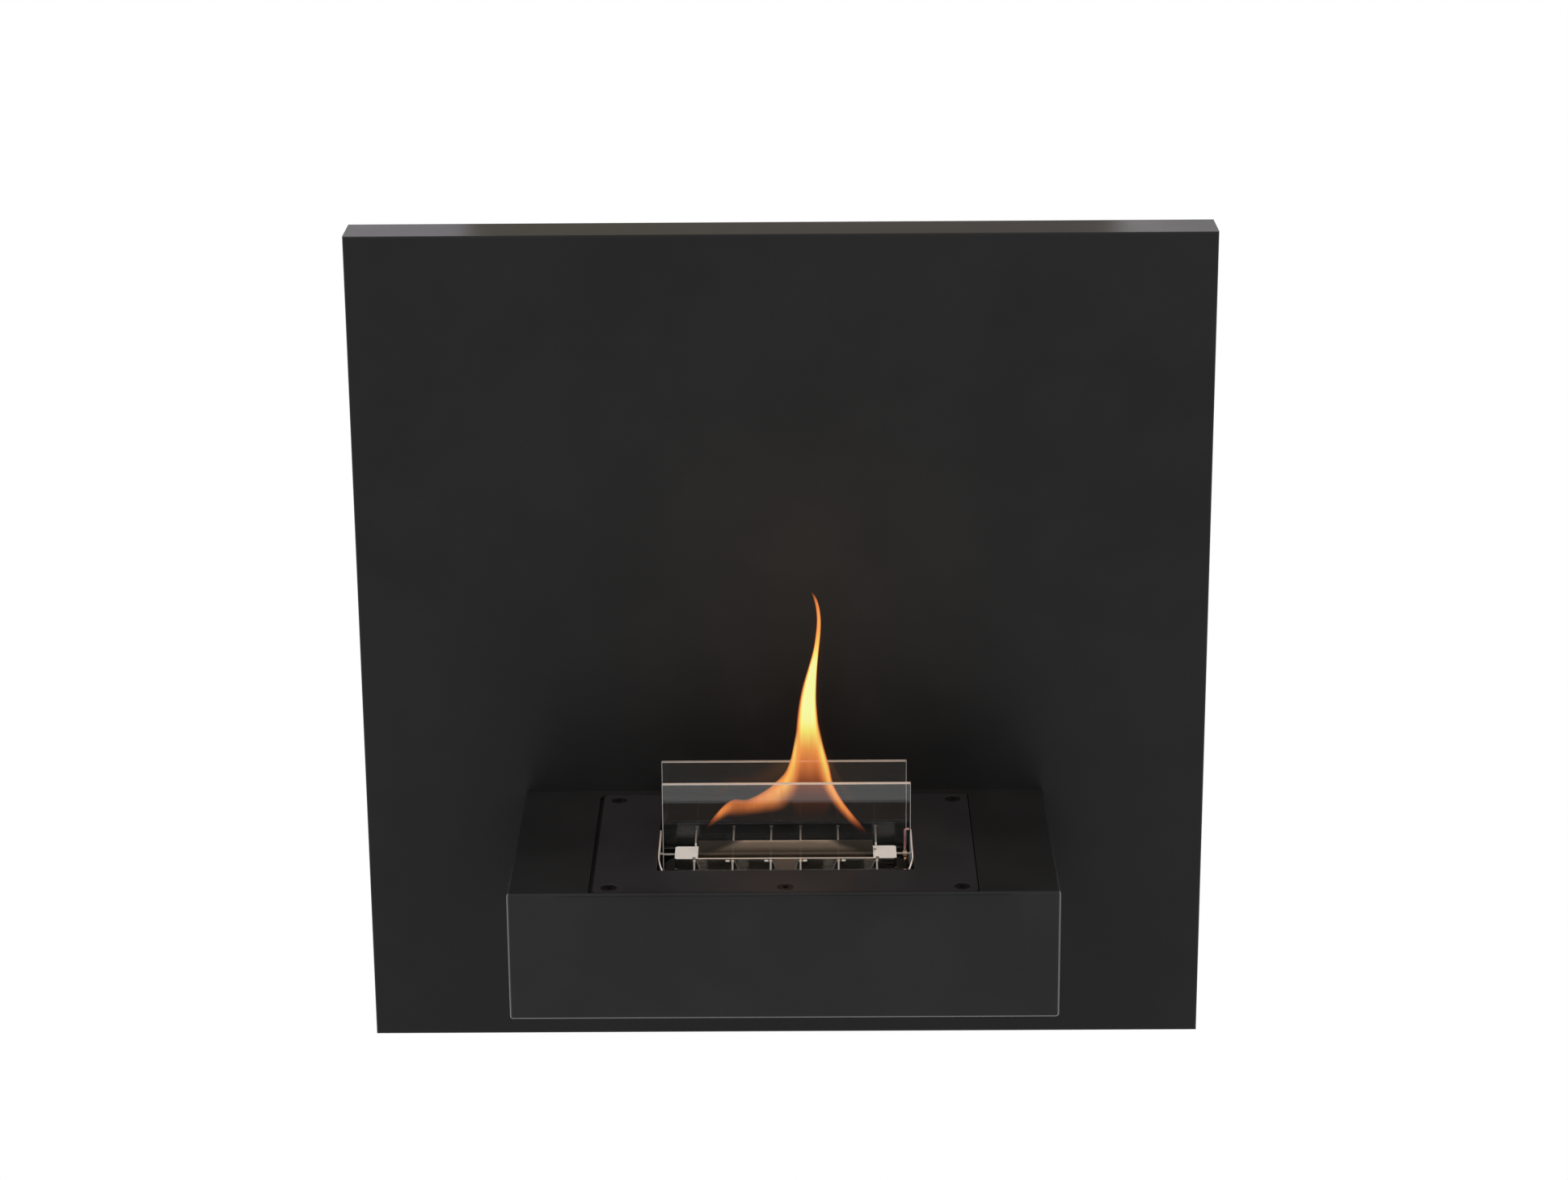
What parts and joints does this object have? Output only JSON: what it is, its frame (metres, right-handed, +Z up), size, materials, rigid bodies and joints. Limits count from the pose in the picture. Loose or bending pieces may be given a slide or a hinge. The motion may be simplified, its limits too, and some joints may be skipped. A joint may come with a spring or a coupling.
{
  "type": "wall-hung bioethanol fireplace",
  "caption": "Wall-hung bioethanol fireplace: a square black steel panel with a shelf box, a slot burner between two glass panes, and a lever-turned snuffer flap.",
  "frame": {"origin": "on the wall, midway between the two fixing holes of the wall rail", "axes": "+X to the viewer's right, +Y into the wall, +Z up"},
  "size_m": [0.65, 0.254, 0.6455],
  "materials": {
    "powder_coat": "fine-textured matt black powder coat",
    "powder_coat_plate": "fine-textured matt black powder coat, a little greyer",
    "stainless": "satin stainless, slightly heat-toned",
    "bright_wire": "bright drawn stainless wire and strip",
    "tinted_wire": "stainless wire, tinted by heat",
    "copper_bead": "bright copper-coloured braze bead",
    "black_screws": "black oxide, slightly oily",
    "zinc_steel": "bright zinc plate",
    "clear_glass": "clear toughened glass, polished edges",
    "ceramic_fibre": "soft white ceramic fibre",
    "rubber_pad": "matt black rubber"
  },
  "bodies": {
    "root": {"front_panel": "powder_coat", "wall_rail": "zinc_steel", "wall_bumpers": "rubber_pad", "backing_plate": "zinc_steel", "shelf_box": "powder_coat", "shelf_bolts": "zinc_steel", "shelf_washers": "zinc_steel", "shelf_nuts": "zinc_steel", "ledge_frame": "powder_coat", "weld_nuts": "zinc_steel", "cover_plate": "powder_coat_plate", "cover_screws": "black_screws", "burner_tray": "powder_coat", "fuel_tank": "stainless", "slot_neck": "stainless", "fibre_block": "ceramic_fibre", "end_block_left": "stainless", "end_block_right": "stainless", "front_saddle_wires": "bright_wire", "rear_saddle_wires": "bright_wire", "wire_feet": "bright_wire", "bow_spring_left": "bright_wire", "bow_spring_right": "bright_wire", "end_bracket_left": "stainless", "end_bracket_right": "stainless"},
    "snuffer": {"snuffer_flap": "stainless", "snuffer_axle": "stainless", "snuffer_lever": "tinted_wire", "lever_bead": "copper_bead"},
    "front_pane": {"front_glass": "clear_glass"},
    "rear_pane": {"rear_glass": "clear_glass"}
  },
  "joints": [
    {"name": "snuffer_turn", "type": "hinge", "parent": "root", "child": "snuffer", "pos_m": [0.00125, -0.1586, -0.3993], "axis": [1, 0, 0], "range_deg": [0, 90]},
    {"name": "front_pane_lift", "type": "slide", "parent": "root", "child": "front_pane", "axis": [0, 0, 1], "range_m": [0, 0.08]},
    {"name": "rear_pane_lift", "type": "slide", "parent": "root", "child": "rear_pane", "axis": [0, 0, 1], "range_m": [0, 0.08]}
  ]
}
